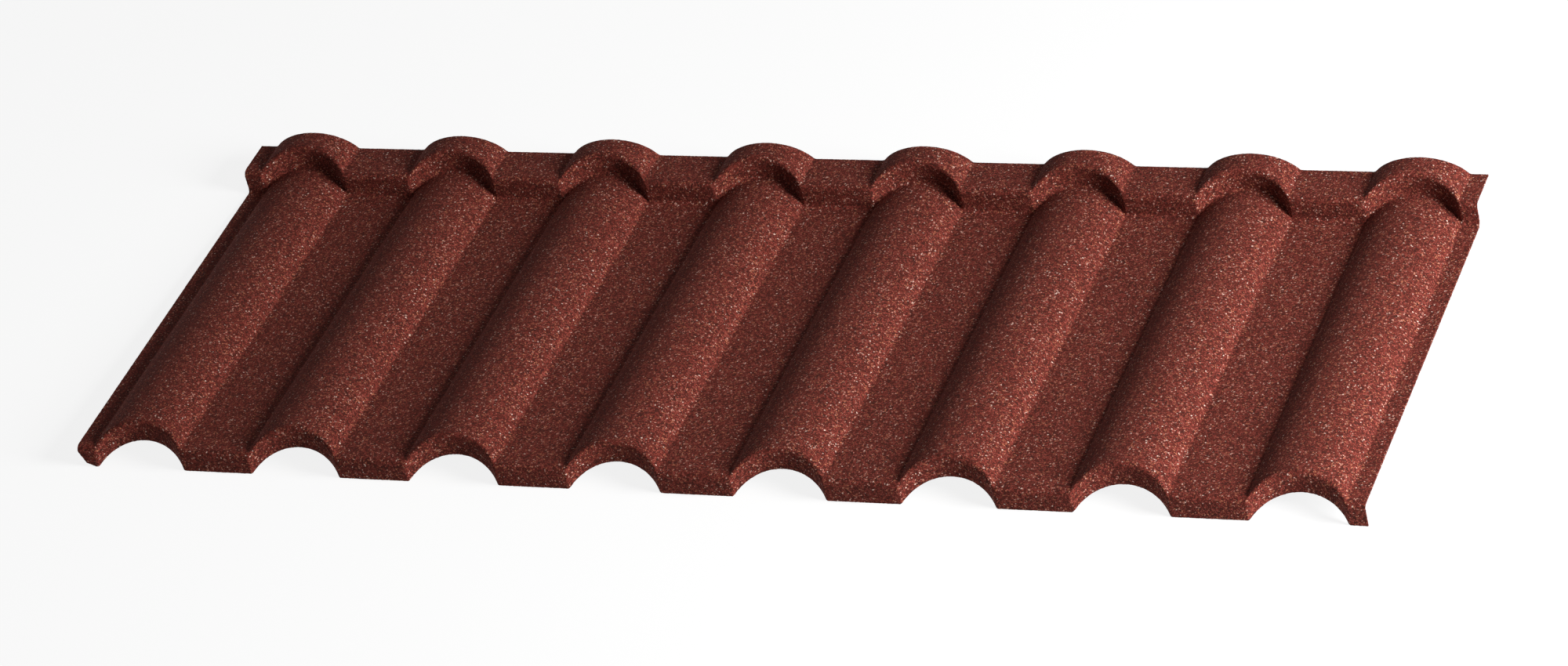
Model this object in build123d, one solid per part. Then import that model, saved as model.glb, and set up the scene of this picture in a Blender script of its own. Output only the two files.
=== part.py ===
from build123d import *
import math
import os

# Tile effect metal roofing sheet, millimetres.
# X runs along the eaves, Y up the slope of the roof and Z out of the roof.
# It is one pressed steel sheet with a stone chip coat, drawn at its coated thickness.

# Sheet
sheet_thickness = 1.6
batten_gauge = 369.0
overall_depth = 410.0
left_side_lap = 16.0
right_side_lap = 15.0

# Rolls between the flat pans
roll_count = 8
roll_pitch = 143.5
roll_width = 80.0
roll_rise = 15.5
roll_setback = 18.5
crease_radius = 3.0

# Side section, from the lip at the front to the flange at the back
nose_height = 20.0
riser_height = 21.0
fold_radius = 5.0

# The lip's free end at the left side lap slants in and is clipped, to enter the lap
lip_slant = 5.0
lip_clip_length = 13.0
lip_clip_height = 3.5

# A roll is one arc in a plane that leans back over the pans, so that its rise and its
# setback go together. A crease fillet joins it to the pan at each side.
roll_arch = math.hypot(roll_rise, roll_setback)
crown_radius = ((roll_width / 2) ** 2 + roll_arch**2) / (2 * roll_arch)
crease_height = crease_radius + crown_radius - roll_arch
crease_reach = math.sqrt((crown_radius + crease_radius) ** 2 - crease_height**2)
crease_turn = math.degrees(math.asin(crease_reach / (crown_radius + crease_radius)))
roll_plane = Plane((0, 0, 0), x_dir=(1, 0, 0), z_dir=(0, -roll_rise, roll_setback))

# The underside's crowns are tighter and its creases wider by this inset, the mean of what
# keeps the slopes of the rolls and what keeps the scallops of the lip at full thickness.
under_inset = sheet_thickness * (roll_rise + roll_setback) / (2 * roll_arch)

left_edge = -roll_width / 2 - left_side_lap
right_edge = (roll_count - 1) * roll_pitch + roll_width / 2 + right_side_lap
flange_height = nose_height + riser_height
inner_radius = fold_radius - sheet_thickness
uncut_depth = batten_gauge + overall_depth
under_margin = 2 * roll_rise


def wave_line(inset, overhang):
    """The line of pans and rolls that the side section is carried along."""
    crease = crease_radius + inset
    crown = crown_radius - inset
    pan_start = Vector(left_edge - overhang, 0)
    edges = []
    for roll in range(roll_count):
        crease_start = Vector(roll * roll_pitch - crease_reach, 0)
        rise = JernArc(crease_start, (1, 0), crease, crease_turn)
        arch = JernArc(rise @ 1, rise % 1, crown, -2 * crease_turn)
        fall = JernArc(arch @ 1, arch % 1, crease, crease_turn)
        edges.extend([Line(pan_start, crease_start), rise, arch, fall])
        pan_start = fall @ 1
    edges.append(Line(pan_start, (right_edge + overhang, 0)))
    return Wire([roll_plane.from_local_coords(edge) for edge in edges])


def side_area(depth, bottom, back):
    """The area below the skin that lies the given depth under the sheet's top face."""
    pan_height = nose_height - depth
    head_height = flange_height - depth
    outline = Polyline(
        (depth, bottom),
        (depth, pan_height),
        (batten_gauge + depth, pan_height),
        (batten_gauge + depth, head_height),
        (back, head_height),
        (back, bottom),
        close=True,
    )
    return make_face(outline)


def fold_corner(area, depth, reach, height):
    """The corner of the side area at a fold whose place on the top face is given."""
    return area.vertices().sort_by_distance((reach + depth, height - depth))[0]


def eased(area, corner, radius):
    """A fold cut flat where the middle of an arc of the given radius would be."""
    return chamfer(corner, (2 - math.sqrt(2)) * radius)


def top_side():
    """The side area under the top face, with a round nose and its other folds eased."""
    area = side_area(0, 0, uncut_depth)
    area = fillet(fold_corner(area, 0, 0, nose_height), fold_radius)
    area = eased(area, fold_corner(area, 0, batten_gauge, nose_height), inner_radius)
    return eased(area, fold_corner(area, 0, batten_gauge, flange_height), fold_radius)


def under_side():
    """The side area under the underside, with its folds eased to keep the thickness."""
    depth = sheet_thickness
    area = side_area(depth, -under_margin, uncut_depth + under_margin)
    area = eased(area, fold_corner(area, depth, 0, nose_height), inner_radius)
    area = eased(area, fold_corner(area, depth, batten_gauge, nose_height), fold_radius)
    return eased(area, fold_corner(area, depth, batten_gauge, flange_height), inner_radius)


def carried(area, inset, overhang):
    """An area of the side section carried along the wave without turning."""
    start = Plane((left_edge - overhang, 0, 0), x_dir=(0, 1, 0), z_dir=(1, 0, 0))
    return sweep((start * area).face(), path=wave_line(inset, overhang), normal=(1, 0, 0))


def pressed_sheet():
    """The body under the top face, less the body under the underside."""
    return carried(top_side(), 0, 0) - carried(under_side(), under_inset, under_margin)


def trimmed(sheet):
    """The sheet sheared straight along the back and clipped at the free end of the lip."""
    back_shear = Plane((0, overall_depth, 0), z_dir=(0, 1, 0))
    sheared = split(sheet, bisect_by=back_shear, keep=Keep.BOTTOM)
    clip = make_face(
        Polyline(
            (left_edge, 0),
            (left_edge + lip_clip_length, 0),
            (left_edge + lip_slant, lip_clip_height),
            (left_edge, nose_height - fold_radius),
            close=True,
        )
    )
    clip_depth = 2 * sheet_thickness
    return sheared - extrude(Plane.XZ * clip, amount=clip_depth, both=True)


def laid_on_floor(sheet):
    """The sheet tipped back until the lip and the foot of the riser touch the floor."""
    lip_line = Axis((0, sheet_thickness, 0), (1, 0, 0))
    tip = math.atan((nose_height - sheet_thickness) / batten_gauge)
    laid = sheet.rotate(lip_line, -math.degrees(tip))
    box = laid.bounding_box()
    return Pos(-box.center().X, -box.center().Y, -box.min.Z) * laid


roofing_sheet = laid_on_floor(trimmed(pressed_sheet()))
roofing_sheet.label = "roofing_sheet"

os.makedirs("parts", exist_ok=True)
export_step(roofing_sheet, "parts/roofing_sheet.step")
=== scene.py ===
import math

import bmesh
import bpy
from bpy.props import FloatProperty, FloatVectorProperty, IntProperty, PointerProperty
from mathutils import Matrix, Quaternion, Vector, noise


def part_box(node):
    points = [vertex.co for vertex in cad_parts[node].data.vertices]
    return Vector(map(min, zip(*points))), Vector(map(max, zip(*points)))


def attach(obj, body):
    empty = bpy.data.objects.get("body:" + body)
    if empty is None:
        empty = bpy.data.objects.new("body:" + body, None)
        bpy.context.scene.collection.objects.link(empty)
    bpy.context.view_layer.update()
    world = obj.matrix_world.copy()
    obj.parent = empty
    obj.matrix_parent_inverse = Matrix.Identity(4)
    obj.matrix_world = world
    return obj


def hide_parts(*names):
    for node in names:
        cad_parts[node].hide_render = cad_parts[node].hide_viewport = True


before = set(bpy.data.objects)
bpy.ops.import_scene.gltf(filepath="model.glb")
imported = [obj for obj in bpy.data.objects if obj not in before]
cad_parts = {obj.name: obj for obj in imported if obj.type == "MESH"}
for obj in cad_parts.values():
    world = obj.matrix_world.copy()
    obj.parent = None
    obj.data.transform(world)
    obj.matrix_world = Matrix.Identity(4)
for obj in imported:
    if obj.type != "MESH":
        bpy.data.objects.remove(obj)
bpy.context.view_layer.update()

bl_info = {
    "name": "Tile Effect Roofing Sheet",
    "version": (1, 0, 0),
    "blender": (4, 5, 0),
    "location": "3D View > Sidebar > Roofing",
    "description": "Pressed steel roofing sheet with pans, rolls and a stone granule coat",
    "category": "Object",
}

SHEET_NODE = "roofing_sheet"
CUT_TOLERANCE = 1e-6

# Straight parts that each arc or run of the mesh is drawn with
CREASE_PARTS = 5
CROWN_PARTS = 24
PAN_PARTS = 6
LAP_PARTS = 2
FOLD_PARTS = 6
FACE_CUTS = 39

# The softened edges, with their width as a share of the thickness
EDGE_SHARE = 0.25
EDGE_PARTS = 2
EDGE_ANGLE = math.radians(50)

# The rim is worn only where it runs on nearly straight, at more than this cosine
RIM_CORNER = 0.5

# Where the share of each granule colour starts, from the dark ones to the white ones
GRANULE_STARTS = (0.0, 0.13, 0.40, 0.70, 0.87, 0.94, 0.985)

MIDDLE = (0.5, 0.5, 0.5)
WHITE = (1.0, 1.0, 1.0)
FLOOR_REACH = 20.0


def length(name, description, default):
    """A size in metres that a user can change."""
    return FloatProperty(
        name=name,
        description=description,
        default=default,
        min=0.0,
        precision=4,
        unit="LENGTH",
    )


def number(name, description, default):
    """A plain number that a user can change."""
    return FloatProperty(name=name, description=description, default=default, min=0.0)


def angle(name, description, degrees):
    """An angle that a user can change, written here in degrees."""
    return FloatProperty(
        name=name, description=description, default=math.radians(degrees), unit="ROTATION"
    )


def colour(name, description, default):
    """A linear colour that a user can change."""
    return FloatVectorProperty(
        name=name,
        description=description,
        default=default,
        size=3,
        min=0.0,
        max=1.0,
        subtype="COLOR",
    )


class SheetSizes(bpy.types.PropertyGroup):
    """Sizes of the pressed sheet, measured on its top face."""

    thickness: length("Thickness", "Steel with its stone coat", 0.0016)
    gauge: length("Batten gauge", "Face from the lip to the riser, up the slope", 0.369)
    depth: length("Depth", "From the lip to the sheared back edge", 0.410)
    left_lap: length("Left lap", "Flat beyond the first roll", 0.016)
    right_lap: length("Right lap", "Flat beyond the last roll", 0.015)
    nose_height: length("Nose height", "From the lip's lower edge to the face", 0.020)
    riser_height: length("Riser height", "From the face to the back flange", 0.021)
    rolls: IntProperty(name="Rolls", description="Rolls across the sheet", default=8, min=1)
    pitch: length("Roll pitch", "From one roll to the next", 0.1435)
    roll_width: length("Roll width", "Of a roll at its base", 0.080)
    roll_rise: length("Roll rise", "Of a crown over the pans", 0.0155)
    roll_setback: length("Roll setback", "Of a crown up the slope", 0.0185)
    crease_radius: length("Crease radius", "Where a roll meets a pan", 0.003)
    bend_radius: length("Bend radius", "Outside of each bend", 0.005)
    lip_slant: length("Lip slant", "Of the lip's free end at the left lap", 0.005)
    clip_length: length("Clip length", "Cut along the lip at the left lap", 0.013)
    clip_height: length("Clip height", "Cut up the lip at the left lap", 0.0035)
    rim_grain: length("Rim grain", "Between uneven places of the cut rim", 0.0011)
    rim_wear: length("Rim wear", "How far the cut rim is set back at most", 0.0003)


class CoatLooks(bpy.types.PropertyGroup):
    """Colours and sizes of the stone granules and of the painted underside."""

    granule: length("Granule size", "Across one granule", 0.0012)
    facet: number("Facet lean", "How far the tops of the granules lean", 1.4)
    relief: number("Relief", "Height of a granule, as a share of its size", 0.06)
    gap: number("Gap", "Binder round a granule, as a share of its size", 0.18)
    uneven: number("Unevenness", "How finely the granules' outlines vary", 0.7)
    cloud_scale: number("Clouds", "Clouds of the underside's paint to a metre", 14.0)
    spangle_scale: number("Spangle", "Zinc flakes of the underside to a metre", 110.0)
    dimple_scale: number("Dimples", "Dimples of the underside's paint to a metre", 700.0)
    dimple: length("Dimple depth", "Of the underside's paint", 0.00015)
    dark: colour("Dark granules", "The darkest granules of the mix", (0.055, 0.0108, 0.0069))
    maroon: colour("Maroon granules", "The dark part of the mix", (0.112, 0.0163, 0.0105))
    brick: colour("Brick granules", "The main part of the mix", (0.208, 0.0345, 0.0233))
    rose: colour("Rose granules", "The lighter part of the mix", (0.295, 0.0630, 0.0455))
    amber: colour("Amber granules", "A few warm granules", (0.405, 0.130, 0.072))
    pale: colour("Pale granules", "A few pale granules", (0.545, 0.245, 0.185))
    white: colour("White granules", "Very few nearly white granules", (0.720, 0.480, 0.400))
    # Partly the real dark binder, partly painted shade in the crevices between the granules
    binder_and_crevice_shade: colour("Binder", "Between the granules", (0.046, 0.0105, 0.0075))
    primer: colour("Underside paint", "Main colour of the underside", (0.200, 0.195, 0.180))
    cloud: colour("Underside clouds", "Where its paint is thinner", (0.120, 0.120, 0.113))
    spangle: colour("Underside spangle", "Zinc that shows through", (0.300, 0.300, 0.292))


class StageSettings(bpy.types.PropertyGroup):
    """Camera, lamps and floor."""

    azimuth: angle("Camera azimuth", "Round the sheet from its lip", 28.29)
    elevation: angle("Camera elevation", "Above the floor", 36.49)
    roll: angle("Camera roll", "Lean of the camera", -15.72)
    distance: length("Camera distance", "From the place it is aimed at", 4.851)
    aim: FloatVectorProperty(
        name="Camera aim",
        description="Place that the camera is aimed at",
        default=(0.006, -0.0013, 0.0),
        subtype="TRANSLATION",
        unit="LENGTH",
    )
    lens: FloatProperty(name="Lens", description="Focal length in mm", default=135.4, min=1.0)
    key_azimuth: angle("Key azimuth", "Of the main lamp, from the lip", 82.0)
    key_elevation: angle("Key elevation", "Of the main lamp", 22.0)
    key_distance: length("Key distance", "Of the main lamp", 2.6)
    key_size: length("Key size", "Side of the main lamp", 0.98)
    key_power: number("Key power", "Of the main lamp, in watts", 116.0)
    fill: number("Fill", "Strength of the light all round", 0.09)
    floor: colour("Floor", "Plain pale floor", (0.85, 0.85, 0.85))
    floor_shade: colour("Floor shade", "How strongly shadows show", (0.20, 0.20, 0.20))
    floor_lift: number("Floor lift", "How pale the floor looks in full shadow", 0.85)


# Sheet

def arc_steps(radius, heading, turn, parts):
    """Steps (along, up) of an arc that starts on a heading and turns by an angle."""
    chord = 2 * radius * math.sin(abs(turn) / (2 * parts))
    headings = [heading + turn * (part + 0.5) / parts for part in range(parts)]
    return [(chord * math.cos(way), chord * math.sin(way)) for way in headings]


def straight_steps(run, parts):
    """Steps (along, up) of a straight run."""
    return [(run / parts, 0.0)] * parts


def wave_steps(sizes):
    """Steps (along, up) over the pans and rolls, from the left edge to the right edge."""
    arch = math.hypot(sizes.roll_rise, sizes.roll_setback)
    half = sizes.roll_width / 2
    crown = (half**2 + arch**2) / (2 * arch)
    crease = sizes.crease_radius
    reach = math.sqrt((crown + crease) ** 2 - (crease + crown - arch) ** 2)
    turn = math.asin(reach / (crown + crease))
    roll = arc_steps(crease, 0.0, turn, CREASE_PARTS)
    roll += arc_steps(crown, turn, -2 * turn, CROWN_PARTS)
    roll += arc_steps(crease, -turn, turn, CREASE_PARTS)
    pan = straight_steps(sizes.pitch - 2 * reach, PAN_PARTS)
    steps = straight_steps(sizes.left_lap + half - reach, LAP_PARTS)
    for place in range(sizes.rolls):
        steps += (pan if place else []) + roll
    return steps + straight_steps(sizes.right_lap + half - reach, LAP_PARTS)


def side_section(shape, sizes):
    """The section from the lip to the flange as a line of edges, with its bends rounded."""
    head = sizes.nose_height + sizes.riser_height
    back = sizes.depth + sizes.roll_setback
    places = [
        (0.0, 0.0),
        (0.0, sizes.nose_height),
        (sizes.gauge, sizes.nose_height),
        (sizes.gauge, head),
        (back, head),
    ]
    corners = [shape.verts.new((0.0, along, up)) for along, up in places]
    edges = [shape.edges.new(pair) for pair in zip(corners, corners[1:])]
    face = edges[1]
    bmesh.ops.subdivide_edges(shape, edges=[face], cuts=FACE_CUTS)
    outside = sizes.bend_radius
    inside = outside - sizes.thickness
    for (along, up), radius in zip(places[1:4], (outside, inside, outside)):
        fold = Vector((0.0, along, up))
        bmesh.ops.bevel(
            shape,
            geom=[min(shape.verts, key=lambda vert: (vert.co - fold).length)],
            offset=radius,
            offset_type="OFFSET",
            segments=FOLD_PARTS,
            profile=0.5,
            affect="VERTICES",
            material=-1,
        )
    return list(shape.edges)


def carry(shape, line, step):
    """Extrudes a line of edges by one step and returns its new edges."""
    made = bmesh.ops.extrude_edge_only(shape, edges=line)["geom"]
    ends = [item for item in made if isinstance(item, bmesh.types.BMVert)]
    bmesh.ops.translate(shape, verts=ends, vec=step)
    moved = set(ends)
    return [
        item
        for item in made
        if isinstance(item, bmesh.types.BMEdge) and moved.issuperset(item.verts)
    ]


def shear_back(shape, sizes):
    """Cuts the sheet off straight along the back."""
    everything = list(shape.verts) + list(shape.edges) + list(shape.faces)
    bmesh.ops.bisect_plane(
        shape,
        geom=everything,
        plane_co=(0.0, sizes.depth, 0.0),
        plane_no=(0.0, 1.0, 0.0),
        clear_outer=True,
    )


def cut_lip(shape, sizes, start, end):
    """Cuts the lip's free end at the left lap along a line between two places (along, up)."""
    faces = [
        face
        for face in shape.faces
        if face.calc_center_median().x < sizes.clip_length
        and face.calc_center_median().z < sizes.nose_height / 2
    ]
    edges = dict.fromkeys(edge for face in faces for edge in face.edges)
    verts = dict.fromkeys(vert for face in faces for vert in face.verts)
    bmesh.ops.bisect_plane(
        shape,
        geom=[*verts, *edges, *faces],
        dist=CUT_TOLERANCE,
        plane_co=(start[0], 0.0, start[1]),
        plane_no=(end[1] - start[1], 0.0, start[0] - end[0]),
        clear_outer=True,
    )


def trim_lip(shape, sizes):
    """Slants the lip's free end and clips its corner, so that it enters the lap."""
    top = (0.0, sizes.nose_height - sizes.bend_radius)
    corner = (sizes.lip_slant, sizes.clip_height)
    foot = (sizes.clip_length, 0.0)
    cut_lip(shape, sizes, top, corner)
    cut_lip(shape, sizes, corner, foot)


def roughen_rim(shape, sizes):
    """Sets the rim back a little here and there, where granules broke off at the cut."""
    rim = [edge for edge in shape.edges if edge.is_boundary]
    for edge in rim:
        cuts = int(edge.calc_length() / sizes.rim_grain)
        if cuts:
            bmesh.ops.subdivide_edges(shape, edges=[edge], cuts=cuts)
    shape.normal_update()
    inward = {}
    for edge in shape.edges:
        if edge.is_boundary:
            loop = edge.link_loops[0]
            along = loop.link_loop_next.vert.co - loop.vert.co
            side = loop.face.normal.cross(along).normalized()
            for vert in edge.verts:
                inward.setdefault(vert, []).append(side)
    for vert, sides in inward.items():
        if len(sides) == 2 and sides[0].dot(sides[1]) > RIM_CORNER:
            share = noise.cell(vert.co / sizes.rim_grain)
            vert.co += (sides[0] + sides[1]) / 2 * sizes.rim_wear * abs(share)


def lay_on_floor(shape, sizes):
    """Tips the sheet back onto the foot of its riser and sets it where the solid lies."""
    low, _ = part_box(SHEET_NODE)
    tip = math.atan((sizes.nose_height - sizes.thickness) / sizes.gauge)
    bmesh.ops.rotate(
        shape,
        verts=shape.verts,
        cent=(0.0, sizes.thickness, 0.0),
        matrix=Matrix.Rotation(-tip, 3, "X"),
    )
    left = min(vert.co.x for vert in shape.verts)
    front = min(vert.co.y for vert in shape.verts)
    bmesh.ops.translate(shape, verts=shape.verts, vec=(low.x - left, low.y - front, 0.0))


def sheet_mesh(sizes):
    """The top face of the sheet as one open mesh."""
    shape = bmesh.new()
    line = side_section(shape, sizes)
    arch = math.hypot(sizes.roll_rise, sizes.roll_setback)
    for along, up in wave_steps(sizes):
        line = carry(
            shape, line, (along, up * sizes.roll_setback / arch, up * sizes.roll_rise / arch)
        )
    shear_back(shape, sizes)
    trim_lip(shape, sizes)
    bmesh.ops.recalc_face_normals(shape, faces=shape.faces)
    if sum(face.normal.z * face.calc_area() for face in shape.faces) < 0:
        bmesh.ops.reverse_faces(shape, faces=shape.faces)
    lay_on_floor(shape, sizes)
    roughen_rim(shape, sizes)
    for face in shape.faces:
        face.smooth = True
    mesh = bpy.data.meshes.new("pressed_sheet")
    shape.to_mesh(mesh)
    shape.free()
    return mesh


# Materials

def add_node(tree, kind, place, **values):
    """Adds a node and sets its properties and the unlinked sockets named by their labels."""
    node = tree.nodes.new(kind)
    node.location = place
    for name, value in values.items():
        if hasattr(node, name):
            setattr(node, name, value)
        else:
            node.inputs[name.replace("_", " ")].default_value = value
    return node


def opaque(rgb):
    """A colour with full alpha."""
    return (*rgb, 1.0)


def new_material(name):
    """A material with an empty node tree, and its output node."""
    material = bpy.data.materials.new(name)
    material.use_nodes = True
    tree = material.node_tree
    tree.nodes.clear()
    return material, tree, add_node(tree, "ShaderNodeOutputMaterial", (900, 0))


def mixed(tree, place, share, first, second):
    """A colour between two others, each a socket or a plain colour, by a share from 0 to 1."""
    mix = add_node(tree, "ShaderNodeMix", place, data_type="RGBA")
    tree.links.new(share, mix.inputs["Factor"])
    for name, value in (("A", first), ("B", second)):
        socket = next(item for item in mix.inputs if item.name == name and item.enabled)
        if isinstance(value, bpy.types.NodeSocket):
            tree.links.new(value, socket)
        else:
            socket.default_value = opaque(value)
    return next(item for item in mix.outputs if item.enabled)


def granule_cells(tree, looks, feature, place):
    """Cells of the granules' size in space."""
    return add_node(
        tree,
        "ShaderNodeTexVoronoi",
        place,
        voronoi_dimensions="3D",
        feature=feature,
        Scale=1.0 / looks.granule,
        Randomness=1.0,
    )


def granule_colours(tree, looks, grains):
    """One colour of the mix for each granule."""
    parts = add_node(tree, "ShaderNodeSeparateColor", (-600, 500))
    mix = add_node(tree, "ShaderNodeValToRGB", (-400, 500))
    ramp = mix.color_ramp
    ramp.interpolation = "CONSTANT"
    colours = (
        looks.dark,
        looks.maroon,
        looks.brick,
        looks.rose,
        looks.amber,
        looks.pale,
        looks.white,
    )
    for start in GRANULE_STARTS[1:-1]:
        ramp.elements.new(start)
    for element, start, rgb in zip(ramp.elements, GRANULE_STARTS, colours):
        element.position = start
        element.color = opaque(rgb)
    tree.links.new(grains.outputs["Color"], parts.inputs["Color"])
    tree.links.new(parts.outputs["Red"], mix.inputs["Fac"])
    return mix.outputs["Color"]


def granule_height(tree, looks, place, grains, chip):
    """Granules that stand out of the binder, each with a top that leans its own way."""
    link = tree.links.new
    inside = add_node(tree, "ShaderNodeVectorMath", (-600, -200), operation="SUBTRACT")
    lean = add_node(tree, "ShaderNodeVectorMath", (-600, -400), operation="SUBTRACT")
    lean.inputs[1].default_value = MIDDLE
    top = add_node(tree, "ShaderNodeVectorMath", (-400, -300), operation="DOT_PRODUCT")
    height = add_node(tree, "ShaderNodeMath", (-100, -300), operation="MULTIPLY_ADD")
    height.inputs[1].default_value = looks.facet / looks.granule
    link(place, inside.inputs[0])
    link(grains.outputs["Position"], inside.inputs[1])
    link(grains.outputs["Color"], lean.inputs[0])
    link(inside.outputs["Vector"], top.inputs[0])
    link(lean.outputs["Vector"], top.inputs[1])
    link(top.outputs["Value"], height.inputs[0])
    link(chip, height.inputs[2])
    return height.outputs["Value"]


def crushed(tree, looks):
    """Object coordinates pushed about a little, so that the granules have uneven outlines."""
    place = add_node(tree, "ShaderNodeTexCoord", (-1800, 0)).outputs["Object"]
    waver = add_node(
        tree,
        "ShaderNodeTexNoise",
        (-1600, 100),
        Scale=looks.uneven / looks.granule,
        Detail=1.0,
    )
    push = add_node(tree, "ShaderNodeVectorMath", (-1200, 0), operation="MULTIPLY_ADD")
    push.inputs[1].default_value = (looks.granule,) * 3
    tree.links.new(place, waver.inputs["Vector"])
    tree.links.new(waver.outputs["Color"], push.inputs[0])
    tree.links.new(place, push.inputs[2])
    return push.outputs["Vector"]


def stone_coat(looks):
    """Crushed stone granules of mixed reds, set in a dark binder on the steel; the binder
    colour in the gaps between granules is partly real binder and partly painted shade in their
    crevices.
    """
    material, tree, output = new_material("stone_coat")
    link = tree.links.new
    shader = add_node(
        tree,
        "ShaderNodeBsdfPrincipled",
        (600, 0),
        Roughness=0.9,
        Specular_IOR_Level=0.15,
    )
    place = crushed(tree, looks)
    grains = granule_cells(tree, looks, "F1", (-900, 300))
    gaps = granule_cells(tree, looks, "DISTANCE_TO_EDGE", (-900, -100))
    chip = add_node(
        tree,
        "ShaderNodeMapRange",
        (-600, 100),
        interpolation_type="SMOOTHSTEP",
        From_Max=looks.gap,
    )
    bump = add_node(
        tree,
        "ShaderNodeBump",
        (300, -300),
        Strength=1.0,
        Distance=looks.granule * looks.relief,
    )
    link(place, grains.inputs["Vector"])
    link(place, gaps.inputs["Vector"])
    link(gaps.outputs["Distance"], chip.inputs["Value"])
    colours = granule_colours(tree, looks, grains)
    # The gaps between granules take the binder colour: real binder and painted crevice shade
    coat = mixed(tree, (300, 200), chip.outputs["Result"], looks.binder_and_crevice_shade, colours)
    height = granule_height(tree, looks, place, grains, chip.outputs["Result"])
    link(coat, shader.inputs["Base Color"])
    link(height, bump.inputs["Height"])
    link(bump.outputs["Normal"], shader.inputs["Normal"])
    link(shader.outputs["BSDF"], output.inputs["Surface"])
    return material


def underside_paint(looks):
    """Thin satin paint over the zinc of the steel, a little cloudy and faintly dimpled."""
    material, tree, output = new_material("underside_paint")
    link = tree.links.new
    shader = add_node(tree, "ShaderNodeBsdfPrincipled", (600, 0))
    place = add_node(tree, "ShaderNodeTexCoord", (-1200, 0)).outputs["Object"]
    clouds = add_node(
        tree,
        "ShaderNodeTexNoise",
        (-900, 300),
        Scale=looks.cloud_scale,
        Detail=4.0,
        Roughness=0.6,
    )
    spangle = add_node(
        tree,
        "ShaderNodeTexVoronoi",
        (-900, 0),
        voronoi_dimensions="3D",
        Scale=looks.spangle_scale,
    )
    dimples = add_node(
        tree, "ShaderNodeTexNoise", (-900, -300), Scale=looks.dimple_scale, Detail=1.0
    )
    cloudy = add_node(tree, "ShaderNodeMapRange", (-600, 300), From_Min=0.35, From_Max=0.65)
    parts = add_node(tree, "ShaderNodeSeparateColor", (-600, 0))
    flakes = add_node(tree, "ShaderNodeMapRange", (-350, 0), To_Max=0.5)
    polish = add_node(tree, "ShaderNodeMapRange", (300, -100), To_Min=0.34, To_Max=0.52)
    bump = add_node(tree, "ShaderNodeBump", (300, -400), Strength=0.5, Distance=looks.dimple)
    for pattern in (clouds, spangle, dimples):
        link(place, pattern.inputs["Vector"])
    link(clouds.outputs["Fac"], cloudy.inputs["Value"])
    link(spangle.outputs["Color"], parts.inputs["Color"])
    link(parts.outputs["Red"], flakes.inputs["Value"])
    link(cloudy.outputs["Result"], polish.inputs["Value"])
    link(dimples.outputs["Fac"], bump.inputs["Height"])
    primed = mixed(tree, (0, 300), cloudy.outputs["Result"], looks.primer, looks.cloud)
    paint = mixed(tree, (300, 300), flakes.outputs["Result"], primed, looks.spangle)
    link(paint, shader.inputs["Base Color"])
    link(polish.outputs["Result"], shader.inputs["Roughness"])
    link(bump.outputs["Normal"], shader.inputs["Normal"])
    link(shader.outputs["BSDF"], output.inputs["Surface"])
    return material


class ROOFSHEET_OT_sheet(bpy.types.Operator):
    """Add the coated roofing sheet"""

    bl_idname = "roofsheet.sheet"
    bl_label = "Add Roofing Sheet"

    def execute(self, context):
        settings = context.scene.roofsheet
        mesh = sheet_mesh(settings.sizes)
        mesh.materials.append(stone_coat(settings.looks))
        mesh.materials.append(underside_paint(settings.looks))
        piece = bpy.data.objects.new("pressed_sheet", mesh)
        context.scene.collection.objects.link(piece)
        wall = piece.modifiers.new("Thickness", "SOLIDIFY")
        wall.thickness = settings.sizes.thickness
        wall.offset = -1.0
        wall.use_even_offset = True
        wall.material_offset = 1
        wall.material_offset_rim = 0
        edge = piece.modifiers.new("Soft edges", "BEVEL")
        edge.width = settings.sizes.thickness * EDGE_SHARE
        edge.segments = EDGE_PARTS
        edge.limit_method = "ANGLE"
        edge.angle_limit = EDGE_ANGLE
        edge.harden_normals = True
        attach(piece, "root")
        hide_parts(SHEET_NODE)
        return {"FINISHED"}


# Stage

def direction(azimuth, elevation):
    """The unit vector to a place round the sheet. Azimuth runs from the lip to the right."""
    level = math.cos(elevation)
    return Vector(
        (math.sin(azimuth) * level, -math.cos(azimuth) * level, math.sin(elevation))
    )


def add_camera(context, stage):
    """The camera at the photograph's viewing angle."""
    data = bpy.data.cameras.new("camera")
    data.lens = stage.lens
    camera = bpy.data.objects.new("camera", data)
    context.scene.collection.objects.link(camera)
    away = direction(stage.azimuth, stage.elevation)
    camera.location = Vector(stage.aim) + away * stage.distance
    camera.rotation_mode = "QUATERNION"
    lean = Quaternion((0.0, 0.0, 1.0), stage.roll)
    camera.rotation_quaternion = (-away).to_track_quat("-Z", "Y") @ lean
    context.scene.camera = camera


def add_key(context, stage):
    """One large soft lamp at the right."""
    data = bpy.data.lights.new("key", "AREA")
    data.shape = "SQUARE"
    data.size = stage.key_size
    data.energy = stage.key_power
    lamp = bpy.data.objects.new("key", data)
    context.scene.collection.objects.link(lamp)
    away = direction(stage.key_azimuth, stage.key_elevation)
    lamp.location = away * stage.key_distance
    lamp.rotation_mode = "QUATERNION"
    lamp.rotation_quaternion = (-away).to_track_quat("-Z", "Y")


def seen_directly(tree, place):
    """A value of 1 for camera, glossy and transmission rays."""
    path = add_node(tree, "ShaderNodeLightPath", place)
    left, level = place
    first = add_node(tree, "ShaderNodeMath", (left + 200, level), operation="MAXIMUM")
    second = add_node(tree, "ShaderNodeMath", (left + 400, level), operation="MAXIMUM")
    tree.links.new(path.outputs["Is Camera Ray"], first.inputs[0])
    tree.links.new(path.outputs["Is Glossy Ray"], first.inputs[1])
    tree.links.new(first.outputs[0], second.inputs[0])
    tree.links.new(path.outputs["Is Transmission Ray"], second.inputs[1])
    return second.outputs[0]


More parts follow.
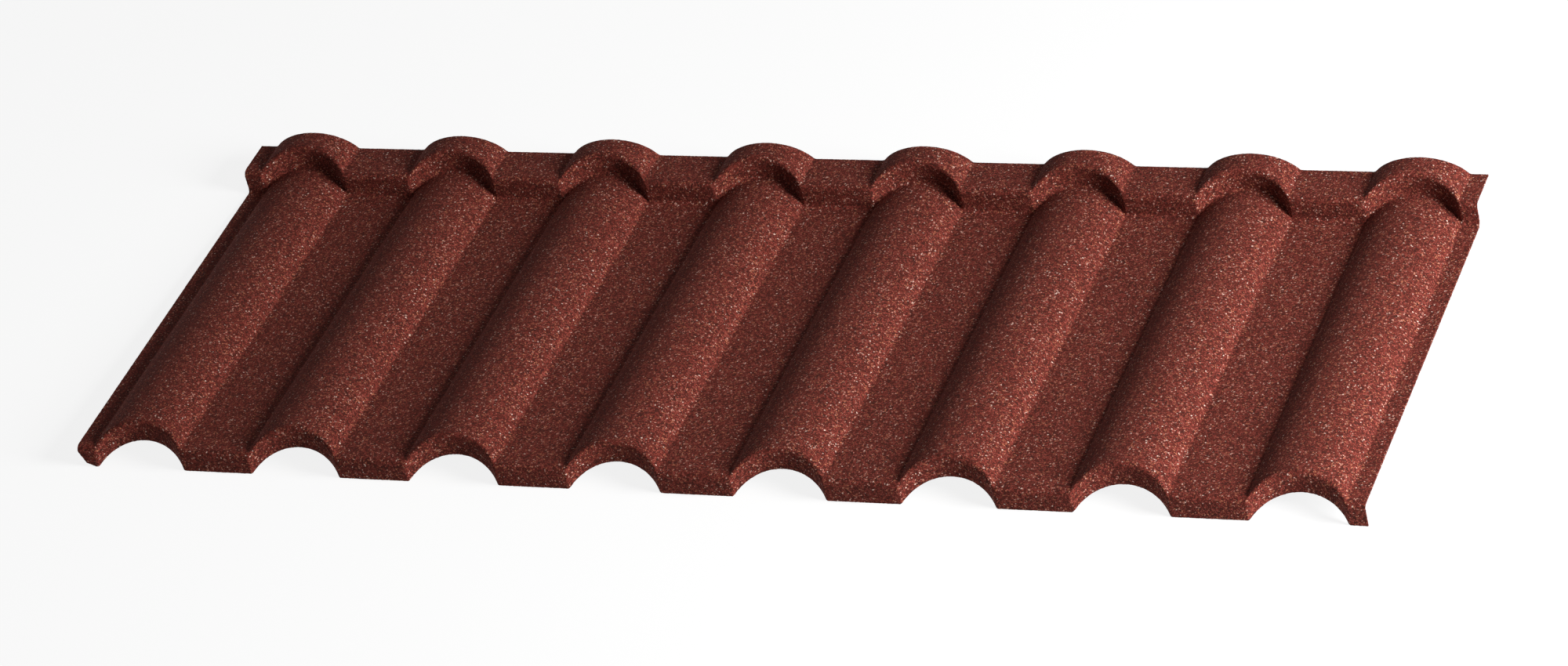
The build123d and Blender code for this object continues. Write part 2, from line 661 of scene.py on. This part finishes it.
def add_world(context, stage):
    """An even light all round that looks white itself."""
    world = bpy.data.worlds.new("studio")
    world.use_nodes = True
    tree = world.node_tree
    tree.nodes.clear()
    output = add_node(tree, "ShaderNodeOutputWorld", (600, 0))
    light = add_node(tree, "ShaderNodeBackground", (200, 100), Strength=stage.fill)
    white = add_node(tree, "ShaderNodeBackground", (200, -100), Strength=1.0)
    for background in (light, white):
        background.inputs["Color"].default_value = opaque(WHITE)
    choice = add_node(tree, "ShaderNodeMixShader", (400, 0))
    tree.links.new(seen_directly(tree, (-400, 0)), choice.inputs["Fac"])
    tree.links.new(light.outputs[0], choice.inputs[1])
    tree.links.new(white.outputs[0], choice.inputs[2])
    tree.links.new(choice.outputs[0], output.inputs["Surface"])
    context.scene.world = world


def floor_material(stage):
    """A pale floor that reads nearly white to the camera and keeps the sheet's shadow."""
    material, tree, output = new_material("floor")
    matt = add_node(tree, "ShaderNodeBsdfDiffuse", (200, 200), Color=opaque(stage.floor))
    shade = add_node(tree, "ShaderNodeBsdfDiffuse", (200, 0), Color=opaque(stage.floor_shade))
    glow = add_node(tree, "ShaderNodeEmission", (200, -200), Strength=stage.floor_lift)
    lifted = add_node(tree, "ShaderNodeAddShader", (450, -100))
    choice = add_node(tree, "ShaderNodeMixShader", (700, 0))
    tree.links.new(shade.outputs[0], lifted.inputs[0])
    tree.links.new(glow.outputs[0], lifted.inputs[1])
    tree.links.new(seen_directly(tree, (-400, 400)), choice.inputs["Fac"])
    tree.links.new(matt.outputs[0], choice.inputs[1])
    tree.links.new(lifted.outputs[0], choice.inputs[2])
    tree.links.new(choice.outputs[0], output.inputs["Surface"])
    return material


def add_floor(context, stage):
    """A level floor far wider than the sheet."""
    shape = bmesh.new()
    bmesh.ops.create_grid(shape, x_segments=1, y_segments=1, size=FLOOR_REACH)
    mesh = bpy.data.meshes.new("floor")
    shape.to_mesh(mesh)
    shape.free()
    mesh.materials.append(floor_material(stage))
    floor = bpy.data.objects.new("floor", mesh)
    context.scene.collection.objects.link(floor)


class ROOFSHEET_OT_stage(bpy.types.Operator):
    """Add the camera, the lamp, the light all round and the floor"""

    bl_idname = "roofsheet.stage"
    bl_label = "Add Stage"

    def execute(self, context):
        stage = context.scene.roofsheet.stage
        context.scene.view_settings.view_transform = "Standard"
        add_camera(context, stage)
        add_key(context, stage)
        add_world(context, stage)
        add_floor(context, stage)
        return {"FINISHED"}


class RoofSheetSettings(bpy.types.PropertyGroup):
    """All that a user would change."""

    sizes: PointerProperty(type=SheetSizes)
    looks: PointerProperty(type=CoatLooks)
    stage: PointerProperty(type=StageSettings)


class ROOFSHEET_PT_panel(bpy.types.Panel):
    """Lists the settings and the operators in the sidebar"""

    bl_idname = "ROOFSHEET_PT_panel"
    bl_label = "Roofing Sheet"
    bl_space_type = "VIEW_3D"
    bl_region_type = "UI"
    bl_category = "Roofing"

    def draw(self, context):
        settings = context.scene.roofsheet
        for operator, group in (
            (ROOFSHEET_OT_sheet, settings.sizes),
            (ROOFSHEET_OT_sheet, settings.looks),
            (ROOFSHEET_OT_stage, settings.stage),
        ):
            box = self.layout.box()
            for name in group.__annotations__:
                box.prop(group, name)
            box.operator(operator.bl_idname)


CLASSES = (
    SheetSizes,
    CoatLooks,
    StageSettings,
    RoofSheetSettings,
    ROOFSHEET_OT_stage,
    ROOFSHEET_OT_sheet,
    ROOFSHEET_PT_panel,
)


def register():
    """Registers the classes and the settings."""
    for item in CLASSES:
        bpy.utils.register_class(item)
    bpy.types.Scene.roofsheet = PointerProperty(type=RoofSheetSettings)


def unregister():
    """Removes the settings and the classes."""
    del bpy.types.Scene.roofsheet
    for item in reversed(CLASSES):
        bpy.utils.unregister_class(item)


def main():
    """Builds the scene."""
    register()
    bpy.ops.roofsheet.stage()
    bpy.ops.roofsheet.sheet()


if __name__ == "__main__":
    main()
